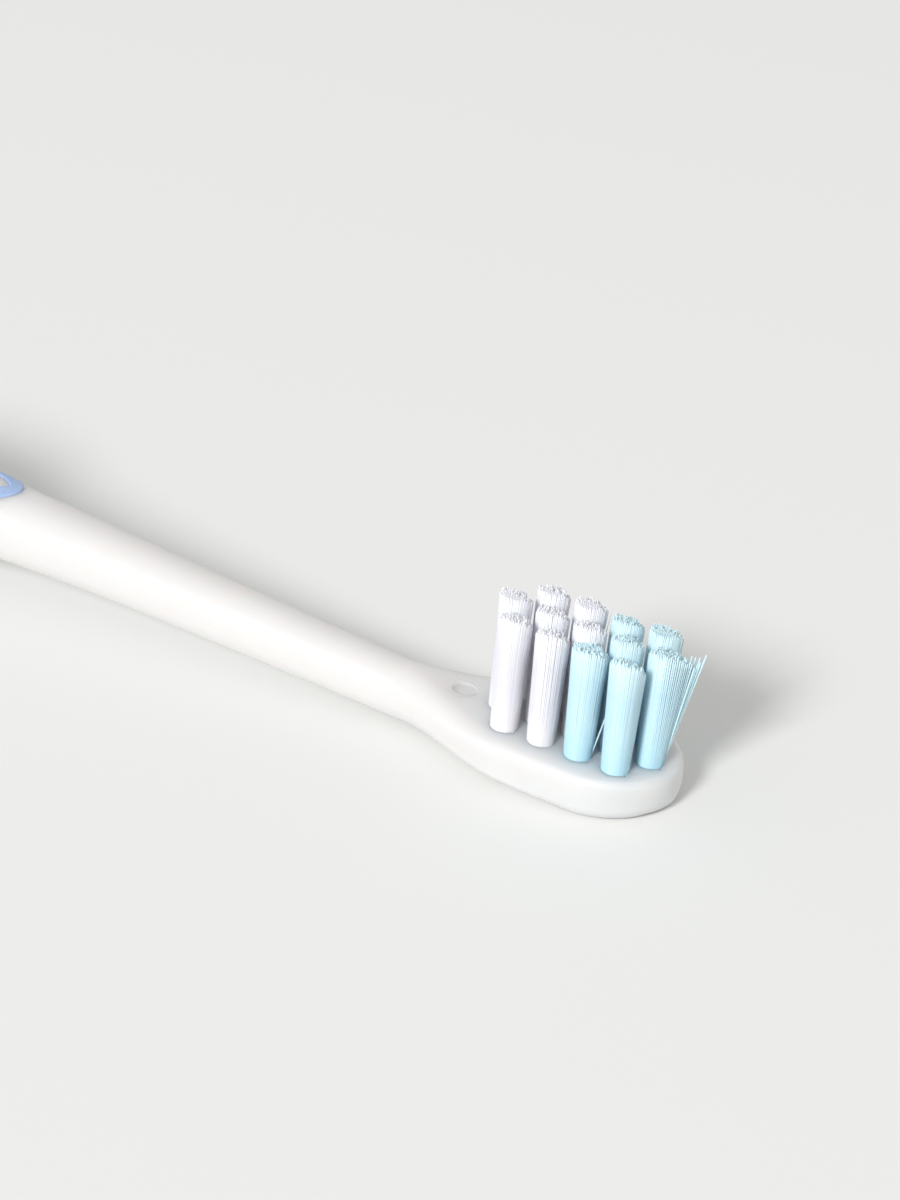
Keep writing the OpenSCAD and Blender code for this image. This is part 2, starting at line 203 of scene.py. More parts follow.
class Form:
    """The moulded body as cross sections, each measured from the head's tip"""

    # Shares of the way along the neck, of its change in diameter and of its rise
    NECK_SHARES = [(0.24, 0.13, 0.255), (0.49, 0.34, 0.52), (0.745, 0.6, 0.785)]
    # Shares of the way along the handle, of its width, and of its height at the top and the bottom
    HANDLE_SHARES = [(0.02, 0.539, 0.746, 0.264), (0.05, 0.65, 0.805, 0.22), (0.1, 0.86, 0.955, 0.09),
                     (0.176, 0.97, 1.0, 0.01), (0.255, 1.0, 0.99, 0.0), (0.412, 0.965, 0.94, 0.0),
                     (0.608, 1.0, 0.96, 0.0), (0.804, 0.95, 0.91, 0.0), (0.91, 0.88, 0.82, 0.04),
                     (1.0, 0.8, 0.72, 0.1)]
    # Least flat part of a section's top and bottom, and least upright part of its sides
    FLAT_SHARE = 0.06
    UPRIGHT_SHARE = 0.03
    # Where the back starts to lift and to round into a keel, between the shoulders' start and the thin neck
    LIFT_SHARE = 0.25
    KEEL_SHARES = (0.45, 0.5)
    # Roundness of the tip and of the handle's end, where 2 is an ellipse
    TIP_POWER = 2.0
    END_POWER = 2.2

    def __init__(self, scene):
        self.head, self.neck, self.grip = scene.brush_head, scene.brush_neck, scene.brush_grip
        head, neck, grip = self.head, self.neck, self.grip
        self.face_z = head.thickness - head.back_round * math.sin(head.pitch)
        span, handle = neck.end_at - neck.thin_at, grip.reach - neck.end_at
        rows = [(neck.thin_at, neck.thin,
                 neck.thin_height + neck.thin / 2, neck.thin_height - neck.thin / 2)]
        for along, wider, higher in self.NECK_SHARES:
            across = mix(neck.thin, neck.end, wider)
            middle = mix(neck.thin_height, neck.end_height, higher)
            rows.append((neck.thin_at + along * span, across, middle + across / 2, middle - across / 2))
        rows.append((neck.end_at, neck.end,
                     neck.end_height + neck.end / 2, neck.end_height - neck.end / 2))
        for along, wide, top, bottom in self.HANDLE_SHARES:
            rows.append((neck.end_at + along * handle, wide * grip.width, top * grip.height,
                         bottom * grip.height))
        self.rows = rows

    def through(self, at, column):
        """Smooth value of a column at a distance from the tip"""
        rows = self.rows
        i = 0
        while i < len(rows) - 2 and at >= rows[i + 1][0]:
            i += 1

        def slope(k):
            a, b = rows[max(0, k - 1)], rows[min(len(rows) - 1, k + 1)]
            return (b[column] - a[column]) / (b[0] - a[0])

        step = rows[i + 1][0] - rows[i][0]
        t = (at - rows[i][0]) / step
        return (rows[i][column] * (1 + 2 * t) * (1 - t) ** 2 + slope(i) * step * t * (1 - t) ** 2
                + rows[i + 1][column] * t * t * (3 - 2 * t) - slope(i + 1) * step * t * t * (1 - t))

    def outline(self, at, inset):
        """Half width of the head's outline, drawn in by an inset"""
        head = self.head
        return (head.width / 2 - inset) * closing(at - inset, head.tip - inset, self.TIP_POWER)

    def head_section(self, at):
        """Half width, top, bottom, flats and roundings of a cross section of the head"""
        head, neck = self.head, self.neck
        t = ease((at - head.side) / (neck.thin_at - head.side))
        keel_at = head.side * self.KEEL_SHARES[0]
        keel = ease((at - keel_at) / (mix(head.side, neck.thin_at, self.KEEL_SHARES[1]) - keel_at))
        half = mix(self.outline(at, 0.0), neck.thin / 2, t)
        rise = ease((at - head.gate_at) / (neck.thin_at - head.gate_at))
        face = self.face_z + at * math.tan(head.pitch)
        top = mix(face, neck.thin_height + neck.thin / 2, rise) - bite(at, head.face_round)
        lift_at = mix(head.side, neck.thin_at, self.LIFT_SHARE)
        lift = ease((at - lift_at) / (neck.thin_at - lift_at))
        bottom = lift * (neck.thin_height - neck.thin / 2) + bite(at, head.back_round)
        point = (head.face - at) / (head.face - head.side + head.face_round)
        flat = min(self.outline(at, head.face_round), point * (head.width / 2 - head.face_round))
        most = (top - bottom) * (1 - self.UPRIGHT_SHARE) / 2
        return (half, top, bottom,
                max(half * self.FLAT_SHARE, flat),
                max(half * self.FLAT_SHARE, mix(self.outline(at, head.back_round), 0.0, keel)),
                min(mix(head.face_round, most, t), most), min(mix(head.back_round, most, keel), most))

    def body_section(self, at):
        """Half width, top, bottom, flats and roundings of a cross section behind the neck's thin place"""
        neck, grip = self.neck, self.grip
        shut = closing(grip.reach - at, grip.end, self.END_POWER)
        half = self.through(at, 1) / 2 * shut
        top, bottom = self.through(at, 2), self.through(at, 3)
        middle, rise = (top + bottom) / 2, (top - bottom) / 2 * shut
        belly = grip.belly / 2 * ease((at - neck.end_at) / (neck.end_at - neck.thin_at)) * shut
        return (half, middle + rise, max(0.0, middle - rise), half * self.FLAT_SHARE,
                max(half * self.FLAT_SHARE, belly), rise * (1 - self.UPRIGHT_SHARE),
                rise * (1 - self.UPRIGHT_SHARE))

    def corners(self, at):
        """Centre and reach of the four rounded corners of the section, keyed by side and top or bottom"""
        part = self.head_section(at) if at < self.neck.thin_at else self.body_section(at)
        half, top, bottom, top_flat, bottom_flat, top_round, bottom_round = part
        found = {}
        for side in (-1, 1):
            found[side, 1] = (Vector((TIP_X - at, side * top_flat, top - top_round)),
                              (half - top_flat, top_round))
            found[side, -1] = (Vector((TIP_X - at, side * bottom_flat, bottom + bottom_round)),
                               (half - bottom_flat, bottom_round))
        return found

    def stations(self):
        head, neck, grip = self.head, self.neck, self.grip
        tip, shoulder, stem, handle, end = 16, 16, 16, 34, 14
        return ([head.tip * (1 - math.cos(math.pi / 2 * i / tip)) for i in range(1, tip + 1)]
                + [mix(head.tip, head.side, 0.5)]
                + [mix(head.side, neck.thin_at, i / shoulder) for i in range(shoulder)]
                + [mix(neck.thin_at, neck.end_at, i / stem) for i in range(stem)]
                + [mix(neck.end_at, grip.reach - grip.end, i / handle) for i in range(handle)]
                + [grip.reach - grip.end * (1 - math.sin(math.pi / 2 * i / end)) for i in range(end)])

    def on_face(self, along, across=0.0, above=0.0):
        """A matrix on the tufted face, with its Z axis along the face's normal"""
        pitch = self.head.pitch
        place = Vector((TIP_X - along * math.cos(pitch), across, self.face_z + along * math.sin(pitch)))
        turn = Matrix.Rotation(pitch, 4, "Y")
        return Matrix.Translation(place) @ turn @ Matrix.Translation((0.0, 0.0, above))


def mix(a, b, t):
    return a + (b - a) * t


def ease(t):
    t = min(1.0, max(0.0, t))
    return t * t * (3 - 2 * t)


def closing(distance, reach, power):
    """Share of the full size left at a distance from a rounded end"""
    if distance >= reach:
        return 1.0
    return (1 - (1 - max(0.0, distance) / reach) ** power) ** (1 / power)


def bite(at, radius):
    return 0.0 if at >= radius else radius - math.sqrt(radius * radius - (radius - at) ** 2)


def primitive(add, name, **settings):
    """Adds a primitive with its operator and lays its place into its mesh"""
    bpy.ops.object.select_all(action="DESELECT")
    add(**settings)
    obj = bpy.context.active_object
    obj.name = obj.data.name = name
    bpy.ops.object.transform_apply(location=True, rotation=True, scale=True)
    return obj


def edit_all(mode):
    """Enters edit mode with everything selected"""
    bpy.ops.object.mode_set(mode="EDIT")
    bpy.ops.mesh.select_mode(type=mode)
    bpy.ops.mesh.select_all(action="SELECT")


def close_edit():
    """Turns all faces outwards and leaves edit mode"""
    bpy.ops.mesh.select_all(action="SELECT")
    bpy.ops.mesh.normals_make_consistent(inside=False)
    bpy.ops.object.mode_set(mode="OBJECT")


def stem(name, corners, radius, foot, levels):
    """Extrudes a ring from its foot through levels of height and width, and closes its top"""
    obj = primitive(bpy.ops.mesh.primitive_circle_add, name, vertices=corners, radius=radius,
                    fill_type="NOTHING", location=(0.0, 0.0, foot))
    edit_all("VERT")
    low, wide = foot, 1.0
    for high, width in levels:
        bpy.ops.mesh.extrude_region_move(TRANSFORM_OT_translate={"value": (0.0, 0.0, high - low)})
        bpy.ops.transform.resize(value=(width / wide, width / wide, 1.0), center_override=(0.0, 0.0, high))
        low, wide = high, width
    bpy.ops.mesh.edge_face_add()
    close_edit()
    return obj


def focus(obj):
    if bpy.context.mode != "OBJECT":
        bpy.ops.object.mode_set(mode="OBJECT")
    bpy.ops.object.select_all(action="DESELECT")
    obj.select_set(True)
    bpy.context.view_layer.objects.active = obj


def pick(obj, test, kind):
    """Selects, in edit mode, only the verts, edges or faces that pass the test"""
    modes = {"verts": "VERT", "edges": "EDGE", "faces": "FACE"}
    bpy.ops.mesh.select_all(action="DESELECT")
    bpy.ops.mesh.select_mode(type=modes[kind])
    shape = bmesh.from_edit_mesh(obj.data)
    for item in getattr(shape, kind):
        if test(item):
            item.select_set(True)
    shape.select_flush_mode()
    bmesh.update_edit_mesh(obj.data)


def apply_modifier(obj, kind, **settings):
    focus(obj)
    made = obj.modifiers.new(kind.lower(), kind)
    for key, value in settings.items():
        setattr(made, key, value)
    bpy.ops.object.modifier_apply(modifier=made.name)


def carve(obj, tool, operation="DIFFERENCE"):
    """Cuts, joins or intersects the object with a tool, which is used up"""
    apply_modifier(obj, "BOOLEAN", object=tool, operation=operation, solver="EXACT")
    bpy.data.objects.remove(tool)


def joined(pieces, name):
    focus(pieces[0])
    for piece in pieces:
        piece.select_set(True)
    bpy.ops.object.join()
    pieces[0].name = name
    return pieces[0]


def smooth(obj, degrees=32):
    focus(obj)
    bpy.ops.object.shade_smooth_by_angle(angle=math.radians(degrees))
    apply_modifier(obj, "WEIGHTED_NORMAL", keep_sharp=True, weight=100)


def dress(obj, finish, node):
    """Sets the piece's finish, attaches it to the body and hides the imported node that it takes the place
    of
    """
    obj.data.materials.clear()
    obj.data.materials.append(finish)
    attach(obj, BODY)
    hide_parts(node)


def copy_of(obj, name):
    twin = obj.copy()
    twin.data = obj.data.copy()
    twin.name = twin.data.name = name
    bpy.context.collection.objects.link(twin)
    return twin


class Wire:
    """A shader value that Python's arithmetic works on by adding Math nodes"""

    def __init__(self, finish, socket):
        self.finish, self.socket = finish, socket

    def _with(self, operation, *values):
        node = self.finish.node("ShaderNodeMath", {"operation": operation}, dict(enumerate(values)))
        return Wire(self.finish, node.outputs[0])

    def __add__(self, other):
        return self._with("ADD", self, other)

    def __sub__(self, other):
        return self._with("SUBTRACT", self, other)

    def __rsub__(self, other):
        return self._with("SUBTRACT", other, self)

    def __mul__(self, other):
        return self._with("MULTIPLY", self, other)

    __radd__ = __add__
    __rmul__ = __mul__

    def between(self, low, high):
        """0 below low, 1 above high, eased between them"""
        node = self.finish.node("ShaderNodeMapRange", {"interpolation_type": "SMOOTHSTEP"},
                                {"Value": self, "From Min": low, "From Max": high})
        return Wire(self.finish, node.outputs[0])


class Finish:
    """A material, or the world's shader, under construction"""

    def __init__(self, name=None, tree=None):
        if tree is None:
            self.material = bpy.data.materials.new(name)
            self.material.use_nodes = True
            tree = self.material.node_tree
        self.tree = tree
        tree.nodes.clear()

    def node(self, kind, settings=None, sockets=None):
        """Adds a node, with its settings first and then the values or links of its sockets"""
        made = self.tree.nodes.new(kind)
        for key, value in (settings or {}).items():
            setattr(made, key, value)
        for key, value in (sockets or {}).items():
            socket = made.inputs[key]
            if isinstance(value, Wire):
                value = value.socket
            if isinstance(value, bpy.types.NodeSocket):
                self.tree.links.new(value, socket)
            elif socket.type == "RGBA" and len(value) == 3:
                socket.default_value = (*value, 1.0)
            else:
                socket.default_value = value
        return made

    def place(self, scale):
        """Place on the piece itself, stretched along its axes"""
        where = self.node("ShaderNodeTexCoord")
        return self.node("ShaderNodeMapping", {"vector_type": "POINT"},
                         {"Vector": where.outputs["Object"], "Scale": scale}).outputs[0]

    def grain(self, size, detail=2.0, stretch=(1.0, 1.0, 1.0)):
        """Noise with features of a size in metres"""
        node = self.node("ShaderNodeTexNoise", {"noise_dimensions": "3D"},
                         {"Vector": self.place(stretch), "Scale": 1.0 / size, "Detail": detail,
                          "Roughness": 0.55})
        return Wire(self, node.outputs["Fac"])

    def blend(self, amount, first, second):
        """Mixes two colours, which a Mix node takes at inputs 6 and 7 and gives at output 2"""
        node = self.node("ShaderNodeMix", {"data_type": "RGBA", "blend_type": "MIX"},
                         {0: amount, 6: first, 7: second})
        return node.outputs[2]

    def bump(self, height, depth):
        """Relief of a depth in metres"""
        node = self.node("ShaderNodeBump", {}, {"Height": height, "Distance": depth, "Strength": 1.0})
        return node.outputs["Normal"]

    def surface(self, **sockets):
        names = {key.replace("_", " "): value for key, value in sockets.items()}
        shader = self.node("ShaderNodeBsdfPrincipled", {}, names)
        self.node("ShaderNodeOutputMaterial", {}, {"Surface": shader.outputs[0]})
        return self.material


def moulded_plastic(finishes):
    """Satin white plastic with cloudy tone, orange-peel relief and uneven gloss"""
    make = Finish("moulded_white")
    cloud = make.grain(size=0.006, detail=3.0).between(0.35, 0.75)
    peel = make.grain(size=0.00035)
    sweep = make.grain(size=0.0016, detail=3.0, stretch=(0.4, 1.0, 1.0))
    tone = make.blend(cloud * 0.3, finishes.plastic, finishes.plastic_shade)
    relief = make.bump(peel + sweep * 0.6, depth=0.000006)
    return make.surface(Base_Color=tone, Roughness=0.3 + sweep * 0.12, Normal=relief,
                        Specular_IOR_Level=0.5, Subsurface_Weight=0.9, Subsurface_Scale=0.0035,
                        Subsurface_Radius=(1.0, 0.8, 0.68))


def soft_ring(finishes):
    """Matt elastomer with a fine spark-eroded grain"""
    make = Finish("soft_blue_grip")
    pores = make.grain(size=0.00022)
    cloud = make.grain(size=0.0025).between(0.3, 0.7)
    tone = make.blend(cloud * 0.5 + pores.between(0.45, 0.7) * 0.35, finishes.ring, finishes.ring_deep)
    return make.surface(Base_Color=tone, Roughness=0.5 + pores * 0.2, Normal=make.bump(pores, depth=0.00002),
                        IOR=1.5, Sheen_Weight=0.15, Subsurface_Weight=0.15,
                        Subsurface_Radius=(0.6, 0.8, 1.0), Subsurface_Scale=0.0005)


def bristle_finish(name, base, foot, tip):
    """Drawn nylon: every filament has its own tone; near its hole it is painted paler or more saturated as
    painted light for light that passes through the bundle, and its tapered end turns milky, partly painted
    light
    """
    make = Finish(name)
    split = make.node("ShaderNodeSeparateXYZ", {},
                      {0: make.node("ShaderNodeUVMap", {"uv_map": FILAMENT_MAP}).outputs[0]})
    own, along = Wire(make, split.outputs[0]), Wire(make, split.outputs[1])
    deep = [c ** 1.35 for c in base]
    streak = make.grain(size=0.00025, detail=1.0, stretch=(1.0, 1.0, 0.05)).between(0.35, 0.7)
    tone = make.blend(own * 0.4 + streak * 0.2, base, deep)
    # Painted light: near its hole each filament takes the foot colour, which stands in for light passing
    # through the translucent bundle
    tone = make.blend(1.0 - along.between(0.0, 0.35), tone, foot)
    # Partly painted light: the tapered ends take the tip colour, which is their paler tone together with
    # painted light for light they let through
    tone = make.blend(along.between(0.6, 0.95), tone, tip)
    relief = make.bump(make.grain(size=0.00006, detail=1.0), depth=0.000002)
    return make.surface(Base_Color=tone, Roughness=0.34 + own * 0.14, IOR=1.53, Normal=relief,
                        Subsurface_Weight=0.5, Subsurface_Radius=(1.0, 1.0, 1.0), Subsurface_Scale=0.00006)


def stamped_brass(finishes):
    """Stamped brass with rolling lines and a little tarnish"""
    make = Finish("stamped_brass")
    lines = make.grain(size=0.00008, stretch=(0.05, 1.0, 1.0))
    tarnish = make.grain(size=0.0004, detail=3.0).between(0.5, 0.75)
    tone = make.blend(tarnish * 0.6, finishes.metal, [c * 0.7 for c in finishes.metal])
    return make.surface(Base_Color=tone, Metallic=1.0, Roughness=0.28 + tarnish * 0.2,
                        Normal=make.bump(lines, depth=0.000004))


class BRUSH_OT_handle(bpy.types.Operator):
    """Models the one-piece head, neck and handle with its tuft holes and gate mark"""

    bl_idname = "brush.handle"
    bl_label = "Moulded Handle"

    # Vertices in each of the four rounded corners of a cross section
    CORNER = 9
    # Depth and widening of a hole's chamfered mouth, and how far its drill stands out of the face
    MOUTH = 0.00004
    MOUTH_SHARE = 1.05
    DRILL_CLEAR = 0.0003
    # Height of the tool that cuts an anchor's slot, and where its middle lies below the face
    SLOT_TOOL = 0.0012
    SLOT_BELOW = 0.0003
    # Radius of the lip round the gate mark and rounding at the bottom of its dish
    LIP = 0.00008
    DISH_ROUND = 0.00012

    def draw_out(self, form):
        """Extrudes a ring from the tip to the handle's end and shapes its corners at every station"""
        half_step = math.pi / 4 / self.CORNER
        upright = Matrix.Rotation(math.pi / 2, 3, "Y") @ Matrix.Rotation(half_step, 3, "Z")
        body = primitive(bpy.ops.mesh.primitive_circle_add, "moulded_handle", vertices=4 * self.CORNER,
                         radius=1.0, fill_type="NOTHING", rotation=upright.to_euler())
        reach = (math.cos(half_step), math.cos(half_step))
        old = {(side, level): (Vector(), reach) for side in (-1, 1) for level in (-1, 1)}
        edit_all("VERT")
        for number, at in enumerate(form.stations()):
            if number:
                bpy.ops.mesh.extrude_region_move()
            shape = bmesh.from_edit_mesh(body.data)
            ring = [v for v in shape.verts if v.select]
            level_z = (old[1, 1][0].z + old[1, -1][0].z) / 2
            groups = {}
            for v in ring:
                groups.setdefault((1 if v.co.y > 0 else -1, 1 if v.co.z > level_z else -1), []).append(v)
            new = form.corners(at)
            for key, members in groups.items():
                (centre, size), (goal, goal_size) = old[key], new[key]
                self.hold(shape, members)
                bpy.ops.transform.resize(value=(1.0, goal_size[0] / size[0], goal_size[1] / size[1]),
                                         center_override=centre)
                bpy.ops.transform.translate(value=goal - centre)
            self.hold(shape, ring)
            old = new
        bpy.ops.mesh.edge_face_add()
        pick(body, lambda v: v.index < 4 * self.CORNER, "verts")
        bpy.ops.mesh.edge_face_add()
        close_edit()
        return body

    @staticmethod
    def hold(shape, members):
        """Selects only these vertices"""
        bpy.ops.mesh.select_all(action="DESELECT")
        for v in members:
            v.select = True
        shape.select_flush(True)

    def drill_holes(self, form, tufts, body):
        """Cuts a blind hole with a chamfered mouth for each tuft, and the slots its anchor bites into"""
        drill = primitive(bpy.ops.mesh.primitive_cylinder_add, "hole_drill", vertices=48,
                          radius=tufts.hole / 2, depth=tufts.hole_depth - self.MOUTH,
                          location=(0.0, 0.0, -(tufts.hole_depth + self.MOUTH) / 2))
        bpy.ops.object.mode_set(mode="EDIT")
        pick(drill, lambda f: f.normal.z > 0.9, "faces")
        bpy.ops.mesh.extrude_region_move(TRANSFORM_OT_translate={"value": (0.0, 0.0, self.MOUTH)})
        bpy.ops.transform.resize(value=(self.MOUTH_SHARE, self.MOUTH_SHARE, 1.0),
                                 center_override=(0.0, 0.0, 0.0))
        bpy.ops.mesh.extrude_region_move(TRANSFORM_OT_translate={"value": (0.0, 0.0, self.DRILL_CLEAR)})
        bpy.ops.object.mode_set(mode="OBJECT")
        slot = primitive(bpy.ops.mesh.primitive_cube_add, "anchor_slot", size=1.0,
                         scale=(tufts.slot, tufts.slot_width, self.SLOT_TOOL),
                         location=(0.0, 0.0, -self.SLOT_BELOW), rotation=(0.0, 0.0, tufts.slot_turn))
        for tool in (drill, slot):
            tools = []
            for _, _, place in tuft_places(form, tufts):
                tools.append(copy_of(tool, tool.name + "_copy"))
                tools[-1].data.transform(place)
            carve(body, joined(tools, tool.name + "_set"))
            bpy.data.objects.remove(tool)

    def mark_gate(self, form, body):
        """Raises the lip of the gate mark and sinks its dish"""
        head = form.head
        place = form.on_face(head.gate_at)
        inside = head.gate_across / 2 - self.LIP
        rim = primitive(bpy.ops.mesh.primitive_torus_add, "gate_rim", major_segments=64, minor_segments=12,
                        major_radius=inside, minor_radius=self.LIP)
        rim.data.transform(place)
        carve(body, rim, "UNION")
        dish = primitive(bpy.ops.mesh.primitive_cylinder_add, "gate_dish", vertices=64, radius=inside,
                         depth=2 * head.gate_depth)
        bpy.ops.object.mode_set(mode="EDIT")
        pick(dish, lambda e: all(v.co.z < 0 for v in e.verts), "edges")
        bpy.ops.mesh.bevel(offset=self.DISH_ROUND, segments=4, affect="EDGES")
        bpy.ops.object.mode_set(mode="OBJECT")
        dish.data.transform(place)
        carve(body, dish)

    def execute(self, context):
        scene = context.scene
        form = Form(scene)
        body = self.draw_out(form)
        # The thumb ring is dropped onto this copy, without holes, and uses it up
        blank = copy_of(body, "handle_blank")
        blank.hide_render = True
        self.drill_holes(form, scene.brush_tufts, body)
        self.mark_gate(form, body)
        smooth(body)
        dress(body, moulded_plastic(scene.brush_finishes), "handle_core")
        return {"FINISHED"}


class BRUSH_OT_thumb_ring(bpy.types.Operator):
    """Models the soft ring that is moulded round the thumb's place on the handle"""

    bl_idname = "brush.thumb_ring"
    bl_label = "Thumb Ring"

    # Points round the ring and rows of faces across its band
    STEPS = 128
    ROWS_ACROSS = 6
    # Height from which the ring's outline is dropped onto the handle
    DROP_HEIGHT = 0.03
    # Rounding along the edges of the band
    EDGE_ROUND = 0.00022

    def ring_line(self, form, turn):
        """A point of the ring's outer line, seen from above"""
        grip = form.grip
        front = form.neck.end_at - grip.ring_lead
        at = front + grip.ring_length / 2 * (1 - math.cos(turn))
        end = min(at - front, front + grip.ring_length - at)
        corner, reach = form.corners(at)[1, 1]
        half = corner.y + reach[0] - grip.ring_margin
        across = half * closing(end, grip.ring_round, form.TIP_POWER)
        return Vector((TIP_X - at, math.copysign(across, math.sin(turn)), self.DROP_HEIGHT))

    def execute(self, context):
        scene = context.scene
        form = Form(scene)
        grip = form.grip
        blank = bpy.data.objects["handle_blank"]
        band = primitive(bpy.ops.mesh.primitive_circle_add, "soft_thumb_ring", vertices=self.STEPS,
                         radius=1.0, fill_type="NGON")
        for v in band.data.vertices:
            v.co = self.ring_line(form, math.tau * v.index / self.STEPS)
        edit_all("FACE")
        bpy.ops.mesh.normals_make_consistent(inside=False)
        for _ in range(self.ROWS_ACROSS):
            bpy.ops.mesh.inset(thickness=grip.band / self.ROWS_ACROSS)
        bpy.ops.mesh.delete(type="FACE")
        bpy.ops.object.mode_set(mode="OBJECT")
        apply_modifier(band, "SHRINKWRAP", target=blank, wrap_method="PROJECT", use_project_z=True,
                       use_negative_direction=True, use_positive_direction=False,
                       wrap_mode="ABOVE_SURFACE", offset=grip.band_proud)
        bpy.data.objects.remove(blank)
        apply_modifier(band, "SOLIDIFY", thickness=grip.band_depth + grip.band_proud, offset=-1.0)
        apply_modifier(band, "BEVEL", width=self.EDGE_ROUND, segments=4, limit_method="ANGLE",
                       angle_limit=math.radians(55))
        smooth(band, 50)
        dress(band, soft_ring(scene.brush_finishes), "thumb_ring")
        return {"FINISHED"}


def tuft_places(form, tufts):
    """Row, number and place on the face of every tuft, numbered from the handle's side"""
    for level, (row, count) in enumerate(ROWS.items()):
        shift = 0.0 if row == "middle" else 0.5
        for number in range(1, count + 1):
            along = tufts.first + tufts.pitch * (ROWS["middle"] - number - shift)
            yield row, number, form.on_face(along, (level - 1) * tufts.row_gap)


def unit_length(vectors):
    return vectors / np.maximum(1e-6, np.linalg.norm(vectors, axis=1))[:, None]


class Model:
    """A modelled strand or heart as arrays, to be copied many times"""

    def __init__(self, obj):
        self.co = np.array([v.co for v in obj.data.vertices])
        self.normals = np.array([v.normal for v in obj.data.vertices])
        self.faces = [list(p.vertices) for p in obj.data.polygons]
        bpy.data.objects.remove(obj)


class Kit:
    """What every tuft is planted from: a long strand, a short one and a solid heart"""

    # Gap between a tuft and its hole
    HOLE_GAP = 0.00006
    # Thickness of a filament, in steps round the rim, so that neighbours touch
    THREAD_SHARE = 1.1
    # How far a filament reaches into its hole, in filament heights
    ROOT_SHARE = 0.06
    # Places along the tapered end, as shares of its length from the tip, and the widths there
    END_SHARES = ((1.0, 1.0), (0.4, 0.93), (0.1, 0.76), (0.0, 0.45))
    # Distance between rings of filaments, in steps round the rim, and rings that are clear of the heart
    RING_SHARE = 0.87
    CLEAR_RINGS = 1.1
    # Heights of the heart's cross sections
    HEART_SHARES = (0.0, 0.25, 0.5, 0.75, 1.0)

    def __init__(self, tufts):
        self.tufts = tufts
        self.radius = tufts.hole / 2 - self.HOLE_GAP
        self.step = math.tau * self.radius / tufts.rim
        full = 1.0 + tufts.flare / 2 / self.radius
        thread = self.step * self.THREAD_SHARE
        self.long = self.strand(thread, tufts.height, full, (0.0, 0.4))
        self.short = self.strand(thread * full, tufts.inner, 1.0, ())
        self.heart = self.packed_heart()

    def strand(self, thread, tall, full, shares):
        """One straight filament of unit height, which fills out with the tuft and narrows to its end"""
        end = self.tufts.taper / tall
        levels = [(share, mix(1.0, full, share)) for share in shares]
        levels += [(1.0 - end * back, full * width) for back, width in self.END_SHARES]
        return Model(stem("filament", 5, thread / 2, -self.ROOT_SHARE, levels))

    def packed_heart(self):
        """The solid inside of a tuft, where filaments stand too close to be told apart"""
        tufts, radius = self.tufts, self.radius
        inside = radius - self.CLEAR_RINGS * self.RING_SHARE * self.step
        levels = [(share * tufts.height, (radius + tufts.flare / 2 * share) / radius)
                  for share in self.HEART_SHARES]
        return Model(stem("packed", 48, inside, -tufts.hole_depth / 4, levels))


